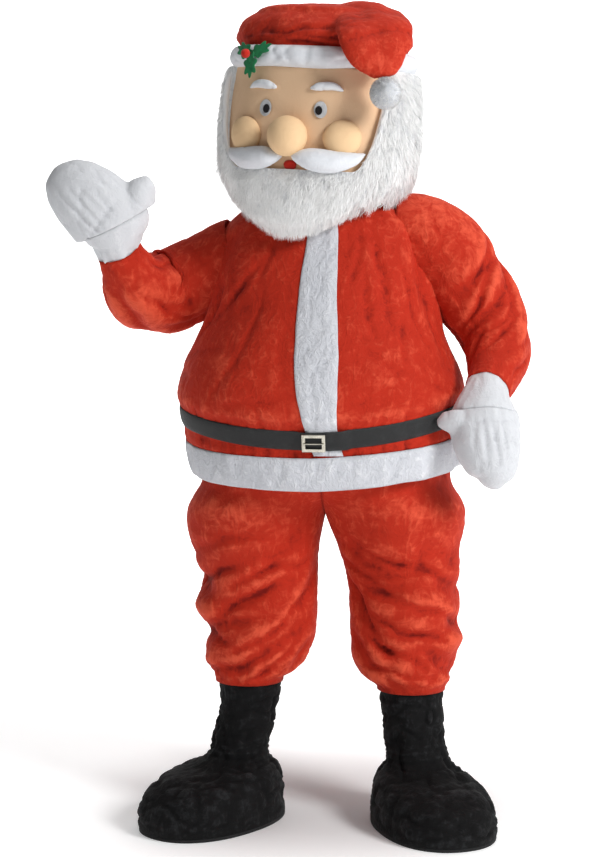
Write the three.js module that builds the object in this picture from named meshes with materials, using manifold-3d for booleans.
// A bearded winter mascot costume, as worn and filled out: a plush head with a fur beard and a slouched hat,
// a belted jacket, trousers, mittens and boot covers. Every piece is a hollow wall or a padded piece, cut and
// placed as a costume maker would sew it. Millimetres, +Z up, the front faces -Y, the costume's right is -X.
// Heights are measured from the floor, and the finished group is lowered: the origin is at the shoulders.
import * as THREE from "three";
import { mergeVertices } from "three/addons/utils/BufferGeometryUtils.js";
import Module from "manifold-3d";

const wasm = await Module();
wasm.setup();

// Driving sizes
const SHOULDER_HEIGHT = 1420; // where the wearer's shoulders carry the costume
const SEAM = 0.3; // the gap between two sewn pieces
const PLUSH = 3; // short-pile plush with its backing
const FELT = 2;
const SIDE_SEAM = 96; // degrees round from the centre front
const WAISTBAND_HEIGHT = 985;
const CENTRE_SEAM_X = 14; // the trousers' centre seam, a little to the wearer's left
const HALF_TURN = 180;
const FULL_TURN = 360;

const radians = THREE.MathUtils.degToRad;
const lerp = THREE.MathUtils.lerp;
const always = (value) => () => value;
const smoothstep = THREE.MathUtils.smoothstep;
const vec = (x, y, z) => new THREE.Vector3(x, y, z);

// Rows of numbers as objects with named columns.
const named = (columns, row) => Object.fromEntries(columns.map((name, i) => [name, row[i]]));
const table = (columns, rows) => rows.map((row) => named(columns, row));

// The jacket's body, hem first. right and left are the half widths, front and back the half depths.
const JACKET_BODY = table(
  ["height", "x", "right", "left", "front", "back", "square"],
  [
    [790, 8, 312, 328, 252, 236, 2.2],
    [850, 6, 318, 336, 262, 240, 2.25],
    [905, 4, 328, 342, 276, 244, 2.3],
    [960, 2, 344, 350, 296, 246, 2.35],
    [1020, 0, 344, 350, 304, 246, 2.35],
    [1080, 0, 330, 332, 298, 240, 2.3],
    [1150, 2, 298, 298, 274, 228, 2.25],
    [1230, 4, 270, 276, 240, 214, 2.2],
    [1310, 4, 262, 270, 208, 198, 2.15],
    [1380, 4, 246, 262, 176, 176, 2.1],
    [1430, 4, 214, 238, 150, 152, 2.05],
    [1462, 4, 170, 190, 128, 128, 2.0],
    [1484, 4, 124, 132, 108, 108, 2.0],
  ],
);

// Folds of a surface. at is degrees round or along the piece's width, height is where the middle lies, slope is
// how far the fold turns from level, and a negative depth is a trough.
const FOLD_COLUMNS = ["at", "height", "slope", "length", "width", "depth"];
const JACKET_FOLDS = table(FOLD_COLUMNS, [
  [62, 1330, 98, 240, 26, -13],
  [48, 1350, 84, 190, 26, 7],
  [78, 1250, 108, 200, 24, 8],
  [40, 1190, -18, 230, 34, -6],
  [66, 1090, -12, 190, 30, -7],
  [-62, 1300, 78, 220, 30, -9],
  [-46, 1200, 24, 210, 36, -6],
  [-24, 1110, 66, 230, 40, 4],
  [20, 1010, 12, 200, 32, -5],
  [150, 1330, 70, 260, 34, -10],
  [212, 1320, -68, 260, 34, -9],
  [180, 1120, 4, 320, 36, -8],
  [128, 1090, -16, 240, 32, -7],
  [236, 1070, 14, 240, 32, -8],
  [168, 1220, 12, 260, 34, 6],
  [196, 1400, -6, 240, 26, -7],
]);
const HEM_FOLDS = table(FOLD_COLUMNS, [
  [-70, 850, 84, 110, 22, -6],
  [-34, 850, 96, 110, 26, 5],
  [12, 850, 80, 110, 20, -4],
  [44, 850, 92, 110, 26, 5],
  [74, 850, 86, 110, 22, -6],
  [118, 850, 90, 110, 26, -7],
  [150, 850, 92, 110, 26, 6],
  [182, 850, 88, 110, 26, -7],
  [216, 850, 94, 110, 26, 6],
  [248, 850, 88, 110, 24, -7],
]);

// The legs, hem first. x and y are the centre, and wide and deep the half sizes.
const LEG_COLUMNS = ["height", "x", "y", "wide", "deep"];
const RIGHT_LEG = table(LEG_COLUMNS, [
  [322, -166, -70, 82, 80],
  [331, -166, -70, 83, 81],
  [350, -158, -66, 106, 99],
  [380, -150, -60, 122, 114],
  [430, -141, -52, 134, 122],
  [500, -146, -42, 144, 128],
  [570, -148, -34, 146, 134],
  [641, -156, -26, 156, 146],
  [713, -156, -18, 168, 166],
  [760, -148, -12, 172, 190],
  [800, -136, -8, 168, 205],
  [WAISTBAND_HEIGHT, -128, 0, 160, 210],
]);
const LEFT_LEG = table(LEG_COLUMNS, [
  [308, 224, -70, 82, 80],
  [317, 224, -70, 83, 81],
  [337, 216, -66, 104, 98],
  [368, 208, -60, 120, 112],
  [425, 207, -52, 131, 122],
  [500, 206, -42, 134, 128],
  [571, 204, -34, 138, 134],
  [646, 192, -26, 148, 146],
  [716, 184, -18, 168, 166],
  [760, 176, -12, 174, 190],
  [800, 164, -8, 164, 205],
  [WAISTBAND_HEIGHT, 156, 0, 158, 210],
]);
// Degrees go round the leg: 0 is the front, 90 the inseam, 180 the back and 270 the outseam.
const RIGHT_LEG_FOLDS = table(FOLD_COLUMNS, [
  [-76, 560, -6, 150, 24, -20],
  [-60, 640, 10, 140, 22, -7],
  [-20, 615, 14, 220, 26, -10],
  [40, 665, 38, 170, 24, -12],
  [10, 550, 20, 230, 26, -12],
  [62, 540, 52, 150, 22, -11],
  [-66, 500, -6, 130, 24, 12],
  [-78, 440, 4, 130, 18, -14],
  [18, 470, 30, 210, 24, 9],
  [20, 415, 34, 230, 20, -14],
  [-40, 395, 12, 160, 22, 9],
  [60, 372, 70, 100, 20, -11],
  [-8, 350, 8, 150, 16, -7],
  [190, 620, 10, 260, 28, -12],
  [160, 520, -14, 260, 28, -13],
  [215, 450, 12, 240, 26, -13],
  [170, 385, -8, 220, 22, -11],
  [235, 560, -6, 160, 26, 10],
]);
// The left leg is made like the right one and mirrored, so its degrees read the same way.
const LEFT_LEG_FOLDS = table(FOLD_COLUMNS, [
  [52, 660, 34, 170, 24, -12],
  [0, 622, -14, 230, 28, -11],
  [-48, 640, 26, 150, 26, -10],
  [22, 560, -10, 230, 26, -10],
  [-62, 560, 18, 150, 24, -12],
  [-30, 520, 22, 180, 26, 9],
  [38, 470, 52, 190, 22, -12],
  [-76, 470, 8, 120, 20, -13],
  [-74, 432, -4, 130, 24, 12],
  [-44, 400, 20, 170, 22, -13],
  [40, 382, 48, 180, 18, -13],
  [0, 348, 6, 160, 18, 8],
  [180, 630, -8, 260, 28, -12],
  [205, 540, 14, 260, 28, -13],
  [160, 460, -12, 240, 26, -13],
  [190, 380, 8, 220, 22, -11],
  [130, 575, 10, 160, 26, 9],
]);

// The arms, shoulder first. station runs from 0 to 1, x, y and z are the centre, wide and deep the half sizes.
const ARM_COLUMNS = ["station", "x", "y", "z", "wide", "deep"];
const RIGHT_ARM = table(ARM_COLUMNS, [
  [0, -190, 12, 1338, 98, 104],
  [0.14, -240, 16, 1316, 98, 104],
  [0.3, -302, 14, 1286, 98, 100],
  [0.45, -362, 0, 1258, 104, 102],
  [0.6, -406, -40, 1254, 104, 102],
  [0.75, -432, -94, 1281, 88, 88],
  [0.88, -448, -126, 1318, 66, 68],
  [0.95, -458, -142, 1340, 57, 57],
  [1, -464, -152, 1357, 55, 54],
]);
const LEFT_ARM = table(ARM_COLUMNS, [
  [0, 176, 0, 1386, 100, 104],
  [0.13, 236, 2, 1380, 106, 110],
  [0.28, 300, 6, 1340, 108, 110],
  [0.44, 350, 12, 1272, 104, 106],
  [0.6, 400, 8, 1192, 96, 96],
  [0.74, 422, -24, 1125, 84, 84],
  [0.87, 418, -84, 1072, 67, 66],
  [0.95, 407, -128, 1049, 57, 56],
  [1, 400, -150, 1036, 54, 52],
]);
// Round a sleeve 0 degrees is the side away from the bend's inside. height is the station times 1000.
const RIGHT_ARM_FOLDS = table(FOLD_COLUMNS, [
  [0, 330, 70, 150, 20, -9],
  [70, 420, 84, 170, 22, -12],
  [110, 520, 96, 150, 20, -12],
  [30, 560, 60, 160, 24, -10],
  [-40, 610, 110, 170, 22, -10],
  [60, 720, 76, 140, 20, -10],
  [-80, 480, 92, 150, 24, -9],
  [150, 620, 86, 130, 20, 8],
  [-140, 760, 100, 140, 20, -8],
]);
const LEFT_ARM_FOLDS = table(FOLD_COLUMNS, [
  [0, 420, 64, 150, 24, -9],
  [60, 500, 40, 200, 22, -12],
  [100, 420, 12, 220, 22, -13],
  [130, 620, 30, 200, 22, -12],
  [20, 640, 70, 170, 22, -9],
  [-30, 760, 96, 150, 20, -10],
  [60, 800, 104, 140, 20, 8],
  [-100, 560, 70, 170, 24, -9],
  [-150, 700, 84, 150, 22, -9],
]);

// The boots' shafts, ankle first. The top stands inside the trouser leg.
const SHAFT_COLUMNS = ["height", "x", "y", "wide", "deep"];
const RIGHT_SHAFT = table(SHAFT_COLUMNS, [
  [156, -188, -100, 77, 79],
  [190, -182, -92, 75, 77],
  [240, -172, -80, 72, 73],
  [285, -166, -72, 74, 75],
  [321, -166, -70, 78.6, 76.6],
  [345, -166, -70, 78.6, 76.6],
]);
const LEFT_SHAFT = table(SHAFT_COLUMNS, [
  [146, 240, -98, 79, 80],
  [180, 236, -90, 77, 78],
  [228, 230, -78, 76, 76],
  [272, 225, -72, 76, 76],
  [307, 224, -70, 78.6, 76.6],
  [331, 224, -70, 78.6, 76.6],
]);
const BOOT_FOLDS = table(FOLD_COLUMNS, [
  [-30, 190, 14, 150, 14, -6],
  [60, 205, -22, 130, 14, -6],
  [150, 185, 10, 150, 14, -6],
  [-110, 225, 70, 90, 14, -5],
  [20, 240, 80, 80, 14, -5],
]);

// The foot of a boot. in is how far the upper has come in from the sole's edge to the ankle, and up how far it
// has risen.
const FOOT = { toe: 300, heel: 100, wide: 131, square: 2.2, sole: 8 };
const FOOT_PROFILE = table(
  ["station", "in", "up"],
  [
    [0, 0, 0],
    [0.14, -0.03, 0.14],
    [0.3, 0, 0.34],
    [0.46, 0.1, 0.54],
    [0.6, 0.28, 0.7],
    [0.74, 0.54, 0.81],
    [0.88, 0.84, 0.89],
    [1, 1, 1],
  ],
);
const RIGHT_FOOT = { x: -178, y: -100, yaw: -38, top: 156 - SEAM };
const LEFT_FOOT = { x: 234, y: -98, yaw: 25, top: 146 - SEAM };

// Mittens, wrist first, then the thumbs from the palm.
const RIGHT_HAND = table(ARM_COLUMNS, [
  [0, -459, -143, 1343, 49.5, 48.5],
  [0.07, -464, -153, 1358, 50.5, 49.5],
  [0.18, -467, -162, 1383, 66, 54],
  [0.34, -474, -172, 1418, 92, 60],
  [0.55, -510, -182, 1458, 90, 62],
  [0.75, -548, -189, 1494, 80, 56],
  [0.89, -576, -193, 1524, 62, 42],
  [0.97, -592, -195, 1544, 36, 24],
  [1, -598, -196, 1552, 10, 8],
]);
const RIGHT_THUMB = table(ARM_COLUMNS, [
  [0, -446, -172, 1412, 38, 36],
  [0.4, -424, -177, 1454, 43, 38],
  [0.75, -405, -181, 1492, 38, 33],
  [0.93, -394, -183, 1517, 23, 20],
  [1, -390, -184, 1529, 7, 7],
]);
const LEFT_HAND = table(ARM_COLUMNS, [
  [0, 402, -138, 1045, 50, 48.5],
  [0.07, 400, -150, 1033, 51, 49.5],
  [0.18, 395, -168, 1012, 62, 54],
  [0.34, 393, -188, 978, 80, 60],
  [0.55, 398, -204, 930, 80, 60],
  [0.75, 410, -214, 882, 70, 54],
  [0.9, 420, -220, 844, 48, 38],
  [0.97, 422, -222, 822, 26, 20],
  [1, 425, -223, 811, 8, 7],
]);
const LEFT_THUMB = table(ARM_COLUMNS, [
  [0, 382, -188, 986, 40, 38],
  [0.45, 342, -200, 974, 42, 37],
  [0.8, 308, -208, 966, 30, 27],
  [1, 286, -212, 962, 9, 9],
]);

// The white strip down the front, hem band first: middle and wide are in millimetres across the chest.
const PLACKET = table(
  ["height", "middle", "wide"],
  [
    [880, 42, 34],
    [930, 28, 37],
    [1040, 14, 46],
    [1128, 12, 50],
    [1266, 11, 43],
    [1391, 18, 34],
    [1476, 18, 30],
  ],
);
const PLACKET_THICK = 6;

// The head, in its own frame: the core under the plush, and the mane's surface at the tips of the pile.
const RING_COLUMNS = ["height", "wide", "front", "back", "square"];
const HEAD_CORE = table(RING_COLUMNS, [
  [-60, 110, 96, 110, 2.1],
  [-10, 140, 122, 138, 2.1],
  [30, 172, 158, 168, 2.2],
  [80, 196, 190, 188, 2.3],
  [150, 208, 206, 198, 2.4],
  [230, 208, 206, 198, 2.45],
  [300, 203, 199, 194, 2.4],
  [350, 197, 191, 188, 2.35],
  [400, 189, 182, 180, 2.25],
]);
const MANE = table(RING_COLUMNS, [
  [-60, 150, 220, 140, 2.1],
  [-20, 178, 238, 174, 2.15],
  [40, 212, 248, 204, 2.2],
  [99, 230, 246, 222, 2.3],
  [160, 236, 242, 228, 2.35],
  [230, 236, 238, 228, 2.4],
  [300, 232, 231, 224, 2.35],
  [340, 224, 223, 218, 2.3],
]);
const BEARD_BACK = table(RING_COLUMNS, [
  [-60, 116, 188, 100, 2.1],
  [0, 150, 200, 120, 2.1],
  [60, 178, 199, 140, 2.2],
  [150, 190, 190, 150, 2.3],
  [340, 180, 180, 150, 2.3],
]);
const HEAD = { x: -8, y: -14, z: 1440, yaw: -15, roll: 3 };
const FACE_EDGE = 70; // degrees from the nose to the edge of the face panel
const FACE_FOAM = 8;
const HAIR_EDGE = FACE_EDGE - 3; // the fur's edge laps over the face panel's
const BEARD_EDGE = HAIR_EDGE - 0.8;
const FUR_LIFT = 3.3; // the fur's backing clears the flats of the face panel
const BAND_LOW = 338;
const BAND_HIGH = 384;

// The hat's crown over the core, and the point that falls over to the wearer's left.
const CROWN = table(RING_COLUMNS, [
  [344, 201.2, 195.2, 192.2, 2.35],
  [384, 195, 188.2, 186, 2.28],
  [404, 214, 200, 204, 2.2],
  [430, 208, 192, 198, 2.15],
  [462, 172, 156, 162, 2.1],
  [486, 112, 100, 106, 2.05],
  [494, 26, 22, 24, 2.0],
]);
const HAT_POINT = table(ARM_COLUMNS, [
  [0, 40, 20, 1836, 92, 84],
  [0.2, 76, -14, 1862, 100, 72],
  [0.38, 108, -70, 1880, 96, 56],
  [0.54, 128, -132, 1872, 94, 46],
  [0.7, 138, -220, 1848, 90, 34],
  [0.82, 146, -256, 1805, 80, 26],
  [0.93, 158, -266, 1766, 50, 20],
  [1, 162, -268, 1746, 26, 15],
]);
const POMPOM = { x: 167, y: -275, z: 1710, radius: 37 };
const HOLLY = table(
  ["degrees", "height", "long", "wide", "turn"],
  [
    [-34.5, 363, 27, 15, 160],
    [-20.5, 364, 25, 14, 30],
    [-25, 331, 26, 15, -80],
  ],
);
const BERRY = { degrees: -27, height: 352, radius: 11 };
const HAT_FOLDS = table(FOLD_COLUMNS, [
  [-30, 425, 6, 200, 18, -9],
  [20, 445, -12, 180, 18, -8],
  [-70, 420, -20, 150, 18, -7],
  [150, 430, 10, 220, 20, -9],
  [215, 440, -12, 200, 20, -8],
  [88, 412, 0, 190, 26, -14],
]);
const POINT_FOLDS = table(FOLD_COLUMNS, [
  [60, 520, 80, 120, 16, -7],
  [110, 640, 96, 110, 16, -7],
  [90, 780, 84, 90, 14, -6],
  [-80, 600, 90, 110, 16, -6],
]);

// Smooth curves through every column of a table, read at any value of its first column.
function smooth(rows) {
  const [key, ...columns] = Object.keys(rows[0]);
  const at = rows.map((row) => row[key]);
  const last = rows.length - 1;
  const curves = columns.map((column) => {
    const y = rows.map((row) => row[column]);
    const rise = (i) => (y[i + 1] - y[i]) / (at[i + 1] - at[i]);
    const tangent = y.map((_, i) => {
      if (i === 0) return rise(0);
      if (i === last) return rise(last - 1);
      const before = at[i] - at[i - 1];
      const after = at[i + 1] - at[i];
      return (after * rise(i - 1) + before * rise(i)) / (before + after);
    });
    return [column, y, tangent];
  });
  return (value) => {
    let i = 0;
    while (i < last - 1 && value > at[i + 1]) i += 1;
    const step = at[i + 1] - at[i];
    const t = THREE.MathUtils.clamp((value - at[i]) / step, 0, 1);
    const found = {};
    for (const [column, y, tangent] of curves) {
      found[column] =
        (2 * t ** 3 - 3 * t ** 2 + 1) * y[i] +
        (t ** 3 - 2 * t ** 2 + t) * step * tangent[i] +
        (3 * t ** 2 - 2 * t ** 3) * y[i + 1] +
        (t ** 3 - t ** 2) * step * tangent[i + 1];
    }
    return found;
  };
}

// How far a surface stands out at one place because of its folds. girth is the length of a full turn there, and
// stretch turns the fold's height scale into millimetres.
function foldAt(folds, degrees, height, girth, stretch = 1) {
  let out = 0;
  for (const fold of folds) {
    const turn = ((degrees - fold.at + HALF_TURN * 3) % FULL_TURN) - HALF_TURN;
    const round = (turn / FULL_TURN) * girth;
    const up = (height - fold.height) * stretch;
    const slope = radians(fold.slope);
    const along = round * Math.cos(slope) + up * Math.sin(slope);
    const across = up * Math.cos(slope) - round * Math.sin(slope);
    const reach = Math.exp(-((along / (fold.length / 2)) ** 4));
    out += fold.depth * reach * Math.exp(-((across / fold.width) ** 2));
  }
  return out;
}

// A point on a rounded ring: 0 degrees is the front and 90 the costume's left.
function ringPoint(degrees, right, left, front, back, square) {
  const s = Math.sin(radians(degrees));
  const c = Math.cos(radians(degrees));
  const power = 2 / square;
  return [
    Math.sign(s) * Math.abs(s) ** power * (s < 0 ? right : left),
    -Math.sign(c) * Math.abs(c) ** power * (c > 0 ? front : back),
  ];
}

// The same surface moved out along its own normal. A surface is a function of (a, b) with a rightwards and b
// upwards when seen from outside.
function offset(surface, distance, [low, high], step = [0.5, 1]) {
  return (a, b) => {
    const here = surface(a, b);
    const amount = typeof distance === "function" ? distance(a, b) : distance;
    if (amount === 0) return here;
    const across = surface(a + step[0], b).sub(surface(a - step[0], b));
    const above = Math.min(b + step[1], high);
    const below = Math.max(b - step[1], low);
    const along = surface(a, above).sub(surface(a, below));
    return here.addScaledVector(across.cross(along).normalize(), amount);
  };
}

// A closed body between an outer and an inner surface, over the same grid of u and v from 0 to 1.
function between(outer, inner, columns, rows, closed = false) {
  const positions = [];
  const index = [];
  const across = closed ? columns : columns + 1;
  const layer = across * (rows + 1);
  for (const surface of [outer, inner]) {
    for (let j = 0; j <= rows; j += 1) {
      for (let i = 0; i < across; i += 1) positions.push(...surface(i / columns, j / rows).toArray());
    }
  }
  const at = (side, i, j) => side * layer + j * across + (i % across);
  const quad = (a, b, c, d) => index.push(a, b, c, a, c, d);
  for (let j = 0; j < rows; j += 1) {
    for (let i = 0; i < columns; i += 1) {
      quad(at(0, i, j), at(0, i + 1, j), at(0, i + 1, j + 1), at(0, i, j + 1));
      quad(at(1, i, j), at(1, i, j + 1), at(1, i + 1, j + 1), at(1, i + 1, j));
    }
  }
  for (let i = 0; i < columns; i += 1) {
    quad(at(1, i, 0), at(1, i + 1, 0), at(0, i + 1, 0), at(0, i, 0));
    quad(at(0, i, rows), at(0, i + 1, rows), at(1, i + 1, rows), at(1, i, rows));
  }
  if (!closed) {
    for (let j = 0; j < rows; j += 1) {
      quad(at(1, 0, j), at(0, 0, j), at(0, 0, j + 1), at(1, 0, j + 1));
      quad(at(0, columns, j), at(1, columns, j), at(1, columns, j + 1), at(0, columns, j + 1));
    }
  }
  return indexed(positions, index);
}

// A closed body inside one ring surface, with a flat cap at each end.
function filled(surface, columns, rows) {
  const positions = [];
  const index = [];
  for (let j = 0; j <= rows; j += 1) {
    for (let i = 0; i < columns; i += 1) positions.push(...surface(i / columns, j / rows).toArray());
  }
  const at = (i, j) => j * columns + (i % columns);
  for (let j = 0; j < rows; j += 1) {
    for (let i = 0; i < columns; i += 1) {
      index.push(at(i, j), at(i + 1, j), at(i + 1, j + 1), at(i, j), at(i + 1, j + 1), at(i, j + 1));
    }
  }
  for (const [row, flip] of [[0, true], [rows, false]]) {
    const middle = vec(0, 0, 0);
    const corner = (i) => vec(...positions.slice(at(i, row) * 3, at(i, row) * 3 + 3));
    for (let i = 0; i < columns; i += 1) middle.add(corner(i));
    positions.push(...middle.divideScalar(columns).toArray());
    const hub = positions.length / 3 - 1;
    for (let i = 0; i < columns; i += 1) {
      index.push(...(flip ? [hub, at(i + 1, row), at(i, row)] : [hub, at(i, row), at(i + 1, row)]));
    }
  }
  return indexed(positions, index);
}

function indexed(positions, index) {
  const geometry = new THREE.BufferGeometry();
  geometry.setAttribute("position", new THREE.Float32BufferAttribute(positions, 3));
  geometry.setIndex(index);
  return geometry;
}

// A solid for joining and cutting, and the way back to a geometry.
function solidOf(geometry) {
  const bare = geometry.clone();
  bare.deleteAttribute("normal");
  bare.deleteAttribute("uv");
  const merged = mergeVertices(bare, 1e-3);
  return new wasm.Manifold(
    new wasm.Mesh({
      numProp: 3,
      vertProperties: new Float32Array(merged.attributes.position.array),
      triVerts: new Uint32Array(merged.index.array),
    }),
  );
}

function geometryOf(solid) {
  const mesh = solid.getMesh();
  return indexed(Array.from(mesh.vertProperties), Array.from(mesh.triVerts));
}

// A geometry without what the cutters take away. Loose crumbs are left out.
function cut(geometry, ...cutters) {
  let solid = solidOf(geometry);
  for (const cutter of cutters) solid = solid.subtract(solidOf(cutter));
  const pieces = solid.decompose().sort((a, b) => b.volume() - a.volume());
  return geometryOf(pieces[0]);
}

function join(first, ...others) {
  return geometryOf(others.reduce((solid, other) => solid.add(solidOf(other)), solidOf(first)));
}

const finish = (colour, roughness, metalness = 0) =>
  new THREE.MeshStandardMaterial({ color: colour, roughness, metalness });
const RED_PLUSH = finish(0xc23522, 0.9);
const WHITE_PLUSH = finish(0xdfe1e6, 0.92);
const WHITE_FUR = finish(0xf0f0ee, 0.95);
const MITTEN_PLUSH = finish(0xdddfe3, 0.92);
const SKIN_PLUSH = finish(0xe2b184, 0.88);
const BLACK_PLUSH = finish(0x17191a, 0.9);
const BLACK_STRAP = finish(0x232526, 0.6);
const BUCKLE_METAL = finish(0xcfccc0, 0.35, 0.9);
const BLACK_FELT = finish(0x1b1a1c, 0.9);
const GREY_FELT = finish(0xc9c4bf, 0.9);
const RED_FELT = finish(0xc42c1e, 0.85);
const GREEN_FELT = finish(0x1f8a4c, 0.85);

function mesh(name, geometry, material) {
  geometry.computeVertexNormals();
  const made = new THREE.Mesh(geometry, material);
  made.name = name;
  return made;
}

// Jacket body

const bodySection = smooth(JACKET_BODY);
const BODY_RANGE = [JACKET_BODY[0].height, JACKET_BODY.at(-1).height];
const BAND_TALL = 78; // the white band along the hem
const BELT_HALF = 23;
const BELT_THICK = 3;
const CINCH = 9; // how far the belt draws the cloth in

// The hem and the belt sag at the front, and the costume's left side hangs a little higher.
function hemHeight(degrees) {
  const front = Math.max(Math.cos(radians(degrees)), 0);
  return 826 - 20 * front + 24 * Math.max(Math.sin(radians(degrees)), 0);
}

function beltHeight(degrees) {
  const front = Math.max(Math.cos(radians(degrees)), 0) ** 2;
  return 964 - 38 * front + 16 * Math.max(Math.sin(radians(degrees)), 0);
}

function bodySurface(degrees, height) {
  const { x: middle, right, left, front, back, square } = bodySection(height);
  const [x, y] = ringPoint(degrees, right, left, front, back, square);
  const girth = Math.PI * (right + left + front + back) * 0.5;
  const fromBelt = Math.abs(height - beltHeight(degrees));
  const calm = smoothstep(fromBelt, 26, 70) * smoothstep(Math.abs(x - 15) + Math.max(y, 0), 46, 110);
  const cinch = CINCH * (1 - smoothstep(fromBelt, BELT_HALF, 52));
  const folds = foldAt(JACKET_FOLDS, degrees, height, girth) * calm;
  const out = folds + foldAt(HEM_FOLDS, degrees, height, girth) - cinch;
  const scale = 1 + out / Math.hypot(x, y);
  return vec(middle + x * scale, y * scale, height);
}

const bodyOut = (distance) => offset(bodySurface, distance, BODY_RANGE);

// The angle at which the body's surface reaches a given x at the front.
function bodyDegrees(x, height) {
  const { x: middle, right, left, square } = bodySection(height);
  const across = x - middle;
  const part = Math.abs(across) / (across < 0 ? right : left);
  return (Math.sign(across) * Math.asin(Math.min(part, 1) ** (square / 2)) * HALF_TURN) / Math.PI;
}

// The rows of points up the body: close together at the belt, even above it.
const BODY_ROWS = 14;
function bodyRow(degrees, row, bottom) {
  const belt = beltHeight(degrees);
  const under = Math.max(belt - 52, lerp(bottom, belt - BELT_HALF, 0.4));
  const low = [bottom, under, belt - BELT_HALF, belt + BELT_HALF, belt + 52];
  if (row < 4) return lerp(low[Math.floor(row)], low[Math.floor(row) + 1], row % 1);
  return lerp(low[4], BODY_RANGE[1], (row - 4) / (BODY_ROWS - 4));
}

const bandTop = (degrees) => hemHeight(degrees) + BAND_TALL;
const FRONT_COLUMNS = 8;
const BACK_COLUMNS = 12;
const BODY_COLUMNS = 2 * FRONT_COLUMNS + BACK_COLUMNS;

// A place round the body from 0 to 1, with the columns of the panels.
function bodyTurn(u) {
  const column = u * BODY_COLUMNS;
  if (column <= 2 * FRONT_COLUMNS) return lerp(-SIDE_SEAM, SIDE_SEAM, column / (2 * FRONT_COLUMNS));
  return lerp(SIDE_SEAM, FULL_TURN - SIDE_SEAM, (column - 2 * FRONT_COLUMNS) / BACK_COLUMNS);
}

// The inside of the body as one solid, grown a little, for cutting what rests on it.
function bodyFilled(grow) {
  const surface = bodyOut(grow);
  const place = (u, v) => {
    const degrees = bodyTurn(u);
    return surface(degrees, bodyRow(degrees, v * BODY_ROWS, bandTop(degrees) + SEAM));
  };
  return filled(place, BODY_COLUMNS, BODY_ROWS);
}

function bodyPanel(from, to, columns) {
  const seam = 0.05; // degrees, half the gap at a seam
  const place = (distance) => {
    const surface = bodyOut(distance);
    return (u, v) => {
      const degrees = lerp(from + seam, to - seam, u);
      const height = bodyRow(degrees, v * BODY_ROWS, bandTop(degrees) + SEAM);
      return v > 0 ? surface(degrees, height) : surface(degrees, height).setZ(height);
    };
  };
  return between(place(0), place(-PLUSH), columns, BODY_ROWS);
}

// The padded band along the hem, round at its edges.
function hemBand() {
  const thick = (v) => 7 - 4 * Math.abs(2 * v - 1) ** 4;
  const place = (distance) => (u, v) => {
    const degrees = bodyTurn(u);
    const height = lerp(hemHeight(degrees), bandTop(degrees), v);
    return bodyOut(distance(v))(degrees, height).setZ(height);
  };
  return between(place(thick), place(always(-PLUSH)), BODY_COLUMNS, 2, true);
}

const placketSection = smooth(PLACKET);

// How much of the placket lies under a place on the front, from 0 to 1.
function placketUnder(degrees, height) {
  const { middle, wide } = placketSection(height);
  const { x } = bodySurface(degrees, height);
  const front = Math.cos(radians(degrees)) > 0;
  return front ? 1 - smoothstep(Math.abs(x - middle), wide + 6, wide + 26) : 0;
}

function placket() {
  const place = (distance) => (u, v) => {
    const bottom = bandTop(10) + 3 * SEAM;
    const height = bodyRow(2, v * (BODY_ROWS - 1), bottom);
    const { middle, wide } = placketSection(height);
    const degrees = bodyDegrees(middle + wide * (2 * u - 1), height);
    return bodyOut(distance(u))(degrees, height);
  };
  const lift = 3 * SEAM;
  const thick = (u) => lift + PLACKET_THICK - 3.5 * Math.abs(2 * u - 1) ** 4;
  return between(place(thick), place(always(lift)), 4, BODY_ROWS - 1);
}

// The columns of the belt: those of the panels, and closer together where it crosses the placket.
const BELT_DEGREES = Array.from({ length: BODY_COLUMNS }, (_, i) => bodyTurn(i / BODY_COLUMNS))
  .filter((degrees) => Math.abs(degrees) > 1)
  .concat([-6, -3.2, -0.8, 3.6, 8, 10.4, 13.4])
  .sort((a, b) => a - b);

const beltLift = (degrees, height) => SEAM + (PLACKET_THICK + 4 * SEAM) * placketUnder(degrees, height);

function belt() {
  const place = (extra) => (u, v) => {
    const degrees = BELT_DEGREES[Math.round(u * BELT_DEGREES.length) % BELT_DEGREES.length];
    const height = lerp(beltHeight(degrees) - BELT_HALF + 0.5, beltHeight(degrees) + BELT_HALF - 0.5, v);
    return bodyOut(() => beltLift(degrees, height) + extra)(degrees, height);
  };
  return between(place(BELT_THICK), place(0), BELT_DEGREES.length, 1, true);
}

// A flat square frame with its prong, standing on the belt.
function buckle() {
  const frame = new THREE.Shape();
  frame.moveTo(-26, -21).lineTo(26, -21).lineTo(26, 21).lineTo(-26, 21).closePath();
  const window = new THREE.Path();
  window.moveTo(-18, -14).lineTo(-18, 14).lineTo(18, 14).lineTo(18, -14).closePath();
  frame.holes.push(window);
  const bevel = { depth: 2, bevelEnabled: true, bevelThickness: 1, bevelSize: 1, bevelSegments: 1 };
  const body = new THREE.ExtrudeGeometry(frame, bevel).translate(0, 0, 1);
  const prong = new THREE.CylinderGeometry(2.4, 2.4, 48, 6).rotateZ(Math.PI / 2).translate(0, 0, 4.6);
  const on = (degrees, up) => {
    const height = beltHeight(degrees) + up;
    return bodyOut(() => beltLift(degrees, height) + BELT_THICK)(degrees, height);
  };
  const middle = bodyDegrees(6, beltHeight(0));
  const up = on(middle, 20).sub(on(middle, -20)).normalize();
  const right = vec(1, 0, 0);
  const out = new THREE.Vector3().crossVectors(right, up).normalize();
  const spread = BELT_DEGREES.filter((degrees) => Math.abs(degrees - 3) < 9);
  const reach = spread.flatMap((degrees) => [on(degrees, -22), on(degrees, 22)]).map((point) => point.dot(out));
  const at = on(middle, 0);
  at.addScaledVector(out, Math.max(...reach) - at.dot(out) + SEAM);
  const turn = new THREE.Matrix4().makeBasis(right, up, out).setPosition(at);
  return join(body, prong).applyMatrix4(turn);
}

// Sleeves, mittens and whatever else follows a curved middle line

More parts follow.
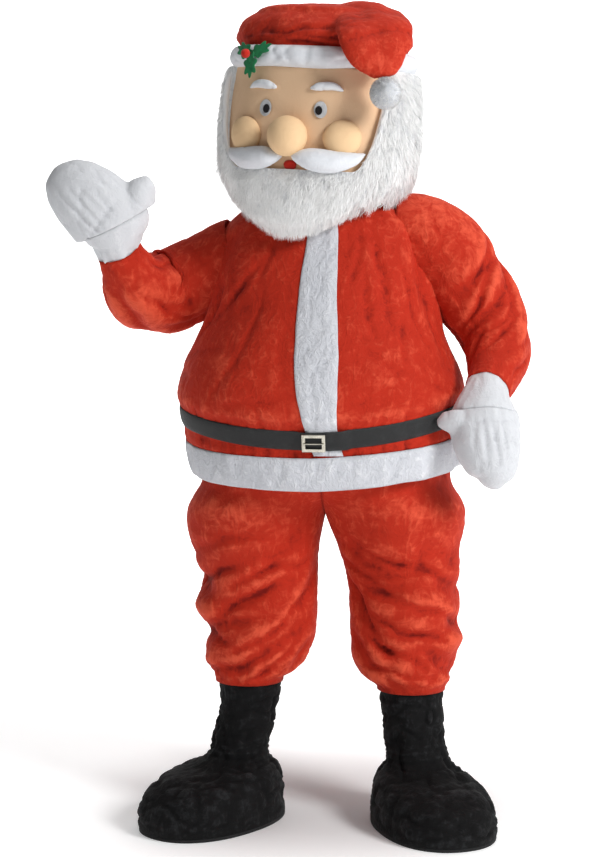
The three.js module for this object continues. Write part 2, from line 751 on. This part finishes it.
function tubeSurface(rows, folds, reference) {
  const section = smooth(rows);
  const centre = (station) => {
    const { x, y, z } = section(station);
    return vec(x, y, z);
  };
  const steps = Array.from({ length: 40 }, (_, i) => centre(i / 40).distanceTo(centre((i + 1) / 40)));
  const stretch = steps.reduce((sum, step) => sum + step, 0) / 1000;
  return (degrees, station, grow = 0) => {
    const along = centre(Math.min(station + 0.02, 1)).sub(centre(Math.max(station - 0.02, 0))).normalize();
    const side = reference.clone().addScaledVector(along, -reference.dot(along)).normalize();
    const other = new THREE.Vector3().crossVectors(along, side);
    const { wide, deep } = section(station);
    const out = grow + foldAt(folds, degrees, station * 1000, Math.PI * (wide + deep), stretch);
    const c = Math.cos(radians(degrees)) * (wide + out);
    const s = Math.sin(radians(degrees)) * (deep + out);
    return centre(station).addScaledVector(side, c).addScaledVector(other, s);
  };
}

const tubeOut = (surface, distance) => (degrees, station) => surface(degrees, station, distance);

function tubeFilled(surface, grow, columns, rows, ease = (v) => v) {
  const moved = tubeOut(surface, grow);
  return filled((u, v) => moved(u * FULL_TURN, ease(v)), columns, rows);
}

function tubeWall(surface, from, to, thick, columns, rows) {
  const inner = tubeOut(surface, -thick);
  const place = (moved) => (u, v) => moved(u * FULL_TURN, lerp(from, to, v));
  return between(place(surface), place(inner), columns, rows, true);
}

const rightArm = tubeSurface(RIGHT_ARM, RIGHT_ARM_FOLDS, vec(-0.35, 0.55, -0.75).normalize());
const leftArm = tubeSurface(LEFT_ARM, LEFT_ARM_FOLDS, vec(0.75, 0.6, 0.3).normalize());
const HAND_COLUMNS = 12;
const CUFF_END = 0.34; // the station where a mitten's cuff is sewn to its hand
const RIGHT_ACROSS = vec(0.7, 0, 0.7); // across the palm
const LEFT_ACROSS = vec(1, 0, 0.2);
const SLEEVE_COLUMNS = 14;
const SLEEVE_ROWS = 10;

// A padded mitten: the cuff is one piece, and the hand is a palm and a back that meet along the middle.
function mitten(name, hand, thumb, across) {
  const handSurface = tubeSurface(hand, [], across);
  const thumbSurface = tubeSurface(thumb, [], across);
  const round = (v) => 1 - (1 - v) ** 1.5;
  const both = (grow) =>
    join(
      tubeFilled(handSurface, grow, HAND_COLUMNS, 6, (v) => lerp(CUFF_END + 0.0012, 1, round(v))),
      tubeFilled(thumbSurface, grow, 8, 4, round),
    );
  const place = (row) => vec(row.x, row.y, row.z);
  const tip = place(hand.at(-1)).sub(place(hand[2]));
  const side = place(thumb.at(-1)).sub(place(hand[2]));
  const normal = new THREE.Vector3().crossVectors(tip, side).normalize();
  if (normal.y > 0) normal.negate(); // towards the front
  const cuffBody = tubeFilled(handSurface, SEAM, HAND_COLUMNS, 3, (v) => v * CUFF_END);
  const wall = cut(both(0), both(-PLUSH), cuffBody);
  const turn = new THREE.Quaternion().setFromUnitVectors(vec(0, 0, 1), normal);
  const half = (sign) => {
    const box = new THREE.BoxGeometry(900, 900, 400).translate(0, 0, sign * (200 - SEAM / 2) - 0.4);
    box.applyQuaternion(turn);
    const at = place(hand[3]);
    return box.translate(at.x, at.y, at.z);
  };
  const group = new THREE.Group();
  const cuff = tubeWall(handSurface, 0, CUFF_END, PLUSH, HAND_COLUMNS, 3);
  group.add(mesh(`${name}_mitten_cuff`, cuff, MITTEN_PLUSH));
  group.add(mesh(`${name}_mitten_front`, cut(wall, half(-1)), MITTEN_PLUSH));
  group.add(mesh(`${name}_mitten_back`, cut(wall, half(1)), MITTEN_PLUSH));
  return group;
}

function jacket() {
  const group = new THREE.Group();
  const armHoles = [rightArm, leftArm].map((arm) => tubeFilled(arm, -PLUSH, SLEEVE_COLUMNS, SLEEVE_ROWS));
  const panel = (from, to, columns) => cut(bodyPanel(from, to, columns), ...armHoles);
  group.add(mesh("jacket_right_front", panel(-SIDE_SEAM, 0, FRONT_COLUMNS), RED_PLUSH));
  group.add(mesh("jacket_left_front", panel(0, SIDE_SEAM, FRONT_COLUMNS), RED_PLUSH));
  group.add(mesh("jacket_back", panel(SIDE_SEAM, FULL_TURN - SIDE_SEAM, BACK_COLUMNS), RED_PLUSH));
  const shell = bodyFilled(SEAM);
  const wrist = (hand, across) =>
    tubeFilled(tubeSurface(hand, [], across), SEAM, HAND_COLUMNS, 3, (v) => v * CUFF_END);
  const sleeve = (arm, hand) => cut(tubeWall(arm, 0, 1, PLUSH, SLEEVE_COLUMNS, SLEEVE_ROWS), shell, hand);
  group.add(mesh("jacket_right_sleeve", sleeve(rightArm, wrist(RIGHT_HAND, RIGHT_ACROSS)), RED_PLUSH));
  group.add(mesh("jacket_left_sleeve", sleeve(leftArm, wrist(LEFT_HAND, LEFT_ACROSS)), RED_PLUSH));
  group.add(mesh("jacket_hem_band", hemBand(), WHITE_PLUSH));
  group.add(mesh("jacket_placket", placket(), WHITE_PLUSH));
  group.add(mesh("belt_strap", belt(), BLACK_STRAP));
  group.add(mesh("belt_buckle", buckle(), BUCKLE_METAL));
  return group;
}

// Trousers

const HIP_GAP = 3.8; // the waist stands this far inside the jacket, under the belt
const LEG_COLUMNS_ROUND = 9;
const LEG_ROWS = [0, 9, 30, 62, 98, 134, 174, 218, 264, 312, 360, 402, 456, 540, 632, 663];

// One leg's cloth. part is -1 for the front panel and 1 for the back, and side is -1 for the right leg.
function legPanel(rows, folds, side, part) {
  const section = smooth(rows);
  const hem = rows[0].height;
  const stretch = (WAISTBAND_HEIGHT - hem) / LEG_ROWS.at(-1);
  const surface = (u, height) => {
    const { x, y, wide, deep } = section(height);
    const reach = side * (x - CENTRE_SEAM_X) - SEAM / 2;
    const inseam = reach < wide ? (Math.asin(reach / wide) * HALF_TURN) / Math.PI : HALF_TURN / 2;
    const front = lerp(-HALF_TURN / 2 + 0.1, inseam - 0.1, u);
    const degrees = part < 0 ? front : HALF_TURN - front;
    const s = Math.sin(radians(degrees));
    const c = Math.cos(radians(degrees));
    const quiet = smoothstep(height, hem + 10, hem + 40) * (1 - smoothstep(height, 700, 800));
    const crotch = 1 - smoothstep(height, 630, 690) * smoothstep(s, 0.5, 0.92);
    const out = foldAt(folds, degrees, height, Math.PI * (wide + deep)) * quiet * crotch;
    const leg = vec(x - side * s * (wide + out), y - c * (deep + out), height);
    const weight = smoothstep(height, 716, 860);
    if (weight === 0) return leg;
    const middle = bodyDegrees(CENTRE_SEAM_X + (side * SEAM) / 2, height);
    const hipFront = lerp(side * (SIDE_SEAM - 0.05), middle, u);
    const hipBack = lerp(side * (SIDE_SEAM + 0.05), side * (HALF_TURN - 2.5), u);
    const inside = -PLUSH - lerp(24, HIP_GAP, smoothstep(height, 955, WAISTBAND_HEIGHT));
    const hip = bodyOut(inside)(part < 0 ? hipFront : hipBack, Math.max(height, BODY_RANGE[0] + 1));
    const point = leg.lerp(vec(hip.x, hip.y, height), weight);
    const limit = CENTRE_SEAM_X + (side * SEAM) / 2;
    if (side * (point.x - limit) < 0) point.x = limit;
    return point;
  };
  const flip = side * part > 0 ? 1 : -1; // whether u runs to the right as seen from outside
  const range = [hem, WAISTBAND_HEIGHT];
  const inner = offset(surface, -PLUSH, range, [0.01 * flip, 1]);
  const place = (moved) => (u, v) => {
    const row = v * (LEG_ROWS.length - 1);
    const i = Math.min(Math.floor(row), LEG_ROWS.length - 2);
    const height = hem + stretch * lerp(LEG_ROWS[i], LEG_ROWS[i + 1], row - i);
    return moved(flip > 0 ? u : 1 - u, height);
  };
  return between(place(surface), place(inner), LEG_COLUMNS_ROUND, LEG_ROWS.length - 1);
}

function trousers() {
  const group = new THREE.Group();
  const legs = [["right", RIGHT_LEG, RIGHT_LEG_FOLDS, -1], ["left", LEFT_LEG, LEFT_LEG_FOLDS, 1]];
  for (const [name, rows, folds, side] of legs) {
    group.add(mesh(`trousers_${name}_front`, legPanel(rows, folds, side, -1), RED_PLUSH));
    group.add(mesh(`trousers_${name}_back`, legPanel(rows, folds, side, 1), RED_PLUSH));
  }
  return group;
}

// Boots

function shaftSurface(rows) {
  const section = smooth(rows);
  return (degrees, height, grow = 0) => {
    const { x, y, wide, deep } = section(height);
    const quiet = smoothstep(height, rows[0].height, rows[0].height + 14);
    const out = grow + foldAt(BOOT_FOLDS, degrees, height, Math.PI * (wide + deep)) * quiet;
    const s = Math.sin(radians(degrees));
    const c = Math.cos(radians(degrees));
    return vec(x + s * (wide + out), y - c * (deep + out), height);
  };
}

function bootShaft(rows) {
  const surface = shaftSurface(rows);
  const inner = (degrees, height) => surface(degrees, height, -PLUSH);
  const round = 2 * LEG_COLUMNS_ROUND;
  const place = (moved) => (u, v) => {
    const row = v * (rows.length - 1);
    const i = Math.min(Math.floor(row), rows.length - 2);
    return moved(u * FULL_TURN - HALF_TURN / 2, lerp(rows[i].height, rows[i + 1].height, row - i));
  };
  return between(place(surface), place(inner), round, rows.length - 1, true);
}

// The sole's outline: 0 degrees is the toe's middle, and it turns with the foot.
function solePoint(foot, degrees, grow = 0) {
  const middle = (FOOT.toe - FOOT.heel) / 2;
  const half = (FOOT.toe + FOOT.heel) / 2 + grow;
  const c = Math.cos(radians(degrees));
  const wide = FOOT.wide * (1 + 0.07 * c) + grow;
  const [x, y] = ringPoint(degrees, wide, wide, half, half, FOOT.square);
  return vec(x, y - middle, 0).applyAxisAngle(vec(0, 0, 1), radians(foot.yaw)).add(vec(foot.x, foot.y, 0));
}

function footSurface(foot, shaft) {
  const profile = smooth(FOOT_PROFILE);
  const ankle = shaftSurface(shaft);
  return (degrees, station) => {
    const { in: inward, up } = profile(station);
    const rim = solePoint(foot, degrees);
    const ring = ankle(degrees + foot.yaw, shaft[0].height);
    const low = FOOT.sole + SEAM;
    const crease = 5 * Math.exp(-(((degrees + 8) / 60) ** 4)) * Math.exp(-(((station - 0.8) / 0.07) ** 2));
    const height = lerp(low, foot.top, up) - crease;
    return vec(lerp(rim.x, ring.x, inward), lerp(rim.y, ring.y, inward), height);
  };
}

function boot(name, foot, shaft) {
  const surface = footSurface(foot, shaft);
  const inner = offset(surface, -PLUSH, [0, 1], [0.5, 0.01]);
  const flatInner = (degrees, station) => {
    const point = inner(degrees, station);
    return station === 0 ? point.setZ(FOOT.sole + SEAM) : station === 1 ? point.setZ(foot.top) : point;
  };
  const place = (moved) => (u, v) => moved(u * FULL_TURN, v);
  const sole = filled((u, v) => solePoint(foot, u * FULL_TURN).setZ(v * FOOT.sole), 20, 1);
  const group = new THREE.Group();
  group.add(mesh(`${name}_boot_shaft`, bootShaft(shaft), BLACK_PLUSH));
  group.add(mesh(`${name}_boot_upper`, between(place(surface), place(flatInner), 16, 7, true), BLACK_PLUSH));
  group.add(mesh(`${name}_boot_sole`, sole, BLACK_STRAP));
  return group;
}

// Head

const headMatrix = new THREE.Matrix4()
  .makeTranslation(HEAD.x, HEAD.y, HEAD.z)
  .multiply(new THREE.Matrix4().makeRotationZ(radians(HEAD.yaw)))
  .multiply(new THREE.Matrix4().makeRotationY(radians(HEAD.roll)));

function ringSurface(rows, folds = []) {
  const section = smooth(rows);
  return (degrees, height) => {
    const { wide, front, back, square } = section(height);
    const [x, y] = ringPoint(degrees, wide, wide, front, back, square);
    const out = folds.length ? foldAt(folds, degrees, height, Math.PI * (wide * 2 + front + back) * 0.5) : 0;
    const scale = 1 + out / Math.max(Math.hypot(x, y), 1);
    return vec(x * scale, y * scale, height);
  };
}

const HEAD_RANGE = [-60, 400];
const core = ringSurface(HEAD_CORE);
const coreOut = (distance) => offset(core, distance, HEAD_RANGE);
const mane = ringSurface(MANE);
const beardBack = ringSurface(BEARD_BACK);
const inHead = (geometry) => geometry.applyMatrix4(headMatrix);

function headFilled(surface, low, high, columns = 48, rows = 16) {
  return filled((u, v) => surface(u * FULL_TURN, lerp(low, high, v)), columns, rows);
}

function facePanel() {
  const place = (moved) => (u, v) => moved(lerp(-FACE_EDGE, FACE_EDGE, u), lerp(40, BAND_LOW - SEAM, v));
  return between(place(core), place(coreOut(-FACE_FOAM)), 12, 4);
}

// The fur from one side of the face round the back to the other, rounded where the pile ends.
function hair() {
  const edge = HAIR_EDGE;
  const low = (degrees) => 34 - 64 * (1 - smoothstep(Math.abs(degrees - HALF_TURN), 40, 115));
  const place = (moved) => (u, v) => {
    const degrees = lerp(edge, FULL_TURN - edge, u);
    return moved(degrees, lerp(low(degrees), BAND_LOW - SEAM, v));
  };
  const outer = (degrees, height) => {
    const fade = smoothstep(height, low(degrees) - 1, low(degrees) + 40);
    return coreOut(6)(degrees, height).lerp(mane(degrees, height), lerp(0.35, 1, fade));
  };
  return between(place(outer), place(coreOut(FUR_LIFT)), 15, 6);
}

const beardTop = (degrees) => lerp(104, BAND_LOW - SEAM, smoothstep(Math.abs(degrees), 36, FACE_EDGE) ** 1.4);
const beardLow = (degrees) => -50 + 84 * Math.min(Math.abs(degrees) / FACE_EDGE, 1) ** 1.9;

// The beard and the side whiskers, from ear to ear below the face.
function beard(grow = 0) {
  const back = (degrees, height) => {
    const lift = FUR_LIFT + 5 * smoothstep(Math.abs(degrees), 32, 46);
    const onFace = coreOut(lift - grow)(degrees, height);
    const hanging = beardBack(degrees, height);
    return Math.hypot(onFace.x, onFace.y) > Math.hypot(hanging.x, hanging.y) ? onFace : hanging;
  };
  const shape = (v) => lerp(0.3, 1, smoothstep(v, -0.05, 0.25)) * lerp(1, 0.3, smoothstep(v, 0.78, 1.02));
  const inner = (degrees, v, height) => back(degrees, height);
  const outer = (degrees, v, height) => {
    const side = smoothstep(Math.abs(degrees), 30, FACE_EDGE);
    const full = lerp(shape(v), 1, v > 0.5 ? side : 0);
    return back(degrees, height).lerp(offset(mane, grow, [-60, 340])(degrees, height), full);
  };
  const place = (moved) => (u, v) => {
    const degrees = lerp(-BEARD_EDGE - grow / 4, BEARD_EDGE + grow / 4, u);
    return moved(degrees, v, lerp(beardLow(degrees) - grow, beardTop(degrees) + grow, v));
  };
  return between(place(outer), place(inner), 12, 8);
}

// A pad that follows a surface, from its middle outwards. outline gives half sizes by direction, and rise the
// thickness by the distance from the middle.
function pad(surface, range, at, outline, lift, rise, sectors = 16, rings = 3) {
  const moved = (distance) => offset(surface, distance, range);
  const perDegree = (surface(at.degrees + 0.5, at.height).distanceTo(surface(at.degrees - 0.5, at.height)));
  const positions = [];
  const index = [];
  for (const top of [true, false]) {
    const layer = (part, angle) => {
      const [x, y] = outline(angle);
      const distance = top ? lift + rise(part) : lift;
      return moved(distance)(at.degrees + (part * x) / perDegree, at.height + part * y);
    };
    positions.push(...layer(0, 0).toArray());
    for (let k = 1; k <= rings; k += 1) {
      const part = Math.sin((k / rings) * (Math.PI / 2));
      for (let i = 0; i < sectors; i += 1) {
        positions.push(...layer(part, (i / sectors) * 2 * Math.PI).toArray());
      }
    }
  }
  const size = 1 + rings * sectors;
  const corner = (side, k, i) => side * size + (k === 0 ? 0 : 1 + (k - 1) * sectors + (i % sectors));
  const quad = (a, b, c, d) => index.push(a, b, c, a, c, d);
  for (let i = 0; i < sectors; i += 1) {
    index.push(corner(0, 0, 0), corner(0, 1, i), corner(0, 1, i + 1));
    index.push(corner(1, 0, 0), corner(1, 1, i + 1), corner(1, 1, i));
    for (let k = 1; k < rings; k += 1) {
      quad(corner(0, k, i), corner(0, k + 1, i), corner(0, k + 1, i + 1), corner(0, k, i + 1));
      quad(corner(1, k, i), corner(1, k, i + 1), corner(1, k + 1, i + 1), corner(1, k + 1, i));
    }
    quad(corner(1, rings, i), corner(1, rings, i + 1), corner(0, rings, i + 1), corner(0, rings, i));
  }
  return indexed(positions, index);
}

const oval = (wide, tall) => (angle) => [wide * Math.cos(angle), tall * Math.sin(angle)];
const dome = (height, edge = 1.2) => (part) => edge + (height - edge) * Math.sqrt(Math.max(1 - part ** 2, 0));
const leafOutline = (length, wide, turn) => (angle) => {
  const spikes = 1 + 0.2 * Math.cos(angle * 7);
  const x = length * Math.cos(angle) * spikes;
  const y = wide * Math.sin(angle) * spikes;
  return [x * Math.cos(turn) - y * Math.sin(turn), x * Math.sin(turn) + y * Math.cos(turn)];
};

// A soft tuft that follows the face: rows of [degrees, height, lift, half height, half depth].
function tuft(rows, grow = 0) {
  const stations = rows.map(([degrees, height, lift, wide, deep], i) => {
    const at = coreOut(lift)(degrees, height);
    return [i / (rows.length - 1), at.x, at.y, at.z, wide, deep];
  });
  return tubeFilled(tubeSurface(table(ARM_COLUMNS, stations), [], vec(0, 0, 1)), grow, 8, 7);
}

function ball(radius, at, squash = 1) {
  const bare = new THREE.SphereGeometry(radius, 12, 8).deleteAttribute("normal").deleteAttribute("uv");
  const sphere = mergeVertices(bare);
  return sphere.scale(1, squash, 1).translate(at.x, at.y, at.z);
}

const NOSE = { height: 178, radius: 47, out: 22 };
const noseAt = () => coreOut(NOSE.out)(0, NOSE.height);
const nose = (grow = 0) => ball(NOSE.radius + grow, noseAt(), 0.92);
const cheekPlace = (side) => ({ degrees: side * 30, height: 178 });
const cheek = (side, grow = 0) =>
  pad(core, HEAD_RANGE, cheekPlace(side), oval(44 + grow, 42 + grow), SEAM - grow, dome(27 + 2 * grow), 14, 3);
const MOUTH = { degrees: 0, height: 113, wide: 20, tall: 11 };
// Half a moustache and a brow on the costume's left, from the middle outwards, as rows of a tuft.
const MOUSTACHE = [
  [2, 136, 24, 12, 18],
  [11, 132, 26, 25, 24],
  [23, 128, 24, 26, 22],
  [36, 134, 18, 17, 15],
  [46, 147, 12, 5, 6],
];
const BROW = [
  [8, 286, 4, 5, 5],
  [14, 292, 5, 10, 9],
  [22, 293, 5, 9, 9],
  [29, 284, 4, 4, 4],
];
// A tuft's rows for one side: the right side's are mirrored, and run the same way across the face.
const onSide = (side, rows) =>
  side > 0 ? rows : rows.map(([degrees, ...sizes]) => [-degrees, ...sizes]).reverse();
const moustache = (side, grow = 0) => tuft(onSide(side, MOUSTACHE), grow);
const brow = (side) => tuft(onSide(side, BROW));

const BAND_PAD = 24;
const HAT_COLUMNS = 21;
const bandSwell = (height, grow) => {
  const t = (2 * (height - BAND_LOW)) / (BAND_HIGH - BAND_LOW) - 1;
  return 3 + grow + (BAND_PAD - 3) * Math.max(1 - Math.abs(t) ** 2.6, 0) ** 0.5;
};
const crown = ringSurface(CROWN, HAT_FOLDS);
const CROWN_RANGE = [CROWN[0].height, CROWN.at(-1).height];
const crownOut = (distance) => offset(crown, distance, CROWN_RANGE);
const bandOuter = (grow) => (degrees, height) => coreOut(bandSwell(height, grow))(degrees, height);

function hatBand(grow = 0) {
  const heights = [0, 0.12, 0.5, 0.88, 1];
  const place = (moved) => (u, v) => {
    const part = heights[Math.round(v * (heights.length - 1))];
    return moved(u * FULL_TURN, lerp(BAND_LOW, BAND_HIGH, part));
  };
  return between(place(bandOuter(grow)), place(coreOut(SEAM + 4)), HAT_COLUMNS, heights.length - 1, true);
}

const hatPoint = tubeSurface(HAT_POINT, POINT_FOLDS, vec(1, 0.35, 0).normalize());

function hatCrown() {
  const rings = (v) => 1 - (1 - v) ** 1.6;
  const surface = (grow) => (u, v) => crownOut(grow)(u * FULL_TURN, lerp(...CROWN_RANGE, rings(v)));
  const solid = (grow, low) => {
    const domeBody = inHead(filled(surface(grow), HAT_COLUMNS, 6));
    return join(domeBody, tubeFilled(hatPoint, grow, 12, 8));
  };
  const below = (u, v) => crownOut(-FELT)(u * FULL_TURN, 352).setZ(lerp(300, 352, v));
  const hollowLow = inHead(filled(below, HAT_COLUMNS, 1));
  return cut(solid(0), solid(-FELT), hollowLow);
}

function head(shell) {
  const group = new THREE.Group();
  const add = (name, geometry, material) => group.add(mesh(name, geometry, material));
  const faceBody = headFilled(coreOut(3 * SEAM), 40, BAND_LOW);
  const browSeat = headFilled(coreOut(2 * SEAM), 40, BAND_LOW);
  const sleeves = [leftArm, rightArm].map((arm) => tubeFilled(arm, SEAM, SLEEVE_COLUMNS, SLEEVE_ROWS));
  add("head_face", inHead(facePanel()), SKIN_PLUSH);
  add("head_hair", cut(inHead(hair()), inHead(beard(4 * SEAM)), shell, ...sleeves), WHITE_FUR);
  add("head_beard", cut(inHead(beard()), shell), WHITE_FUR);
  add("head_nose", inHead(cut(nose(), faceBody)), SKIN_PLUSH);
  for (const [name, side] of [["right", -1], ["left", 1]]) {
    const eye = { degrees: side * 14.5, height: 240 };
    const pupil = { degrees: side * 13.5, height: 238 };
    const around = [faceBody, nose(SEAM), cheek(side, SEAM), beard(SEAM)];
    const white = pad(core, HEAD_RANGE, eye, oval(15, 19), SEAM, always(FELT), 12, 2);
    const dark = pad(core, HEAD_RANGE, pupil, oval(8, 10), 2 * SEAM + FELT, always(FELT), 10, 1);
    add(`head_${name}_eye`, inHead(white), GREY_FELT);
    add(`head_${name}_pupil`, inHead(dark), BLACK_FELT);
    add(`head_${name}_cheek`, inHead(cut(cheek(side), beard(SEAM))), SKIN_PLUSH);
    add(`head_${name}_moustache`, inHead(cut(moustache(side), ...around)), WHITE_FUR);
    add(`head_${name}_brow`, inHead(cut(brow(side), browSeat)), WHITE_FUR);
  }
  const lips = pad(core, HEAD_RANGE, MOUTH, oval(MOUTH.wide, MOUTH.tall), SEAM, dome(9), 10, 2);
  add("head_mouth", inHead(cut(lips, moustache(-1, SEAM), moustache(1, SEAM), beard(SEAM))), RED_FELT);
  add("hat_crown", hatCrown(), RED_PLUSH);
  add("hat_band", inHead(hatBand()), WHITE_PLUSH);
  add("hat_pompom", ball(POMPOM.radius, POMPOM), WHITE_FUR);
  HOLLY.forEach(({ degrees, height, long, wide, turn }, i) => {
    const lift = BAND_PAD + 2 * SEAM + i * (FELT + 2 * SEAM);
    const outline = leafOutline(long, wide, radians(turn));
    const leaf = pad(core, HEAD_RANGE, { degrees, height }, outline, lift, always(FELT), 14, 1);
    add(`hat_leaf_${i + 1}`, inHead(leaf), GREEN_FELT);
  });
  const berryLift = BAND_PAD + 2 * SEAM + HOLLY.length * (FELT + 2 * SEAM) + BERRY.radius;
  add("hat_berry", inHead(ball(BERRY.radius, coreOut(berryLift)(BERRY.degrees, BERRY.height))), RED_FELT);
  return group;
}

const costume = new THREE.Group();
const shell = bodyFilled(SEAM);
costume.add(jacket(), trousers());
costume.add(mitten("right", RIGHT_HAND, RIGHT_THUMB, RIGHT_ACROSS));
costume.add(mitten("left", LEFT_HAND, LEFT_THUMB, LEFT_ACROSS));
costume.add(boot("right", RIGHT_FOOT, RIGHT_SHAFT), boot("left", LEFT_FOOT, LEFT_SHAFT));
costume.add(head(shell));
costume.position.set(0, 0, -SHOULDER_HEIGHT);

export default costume;
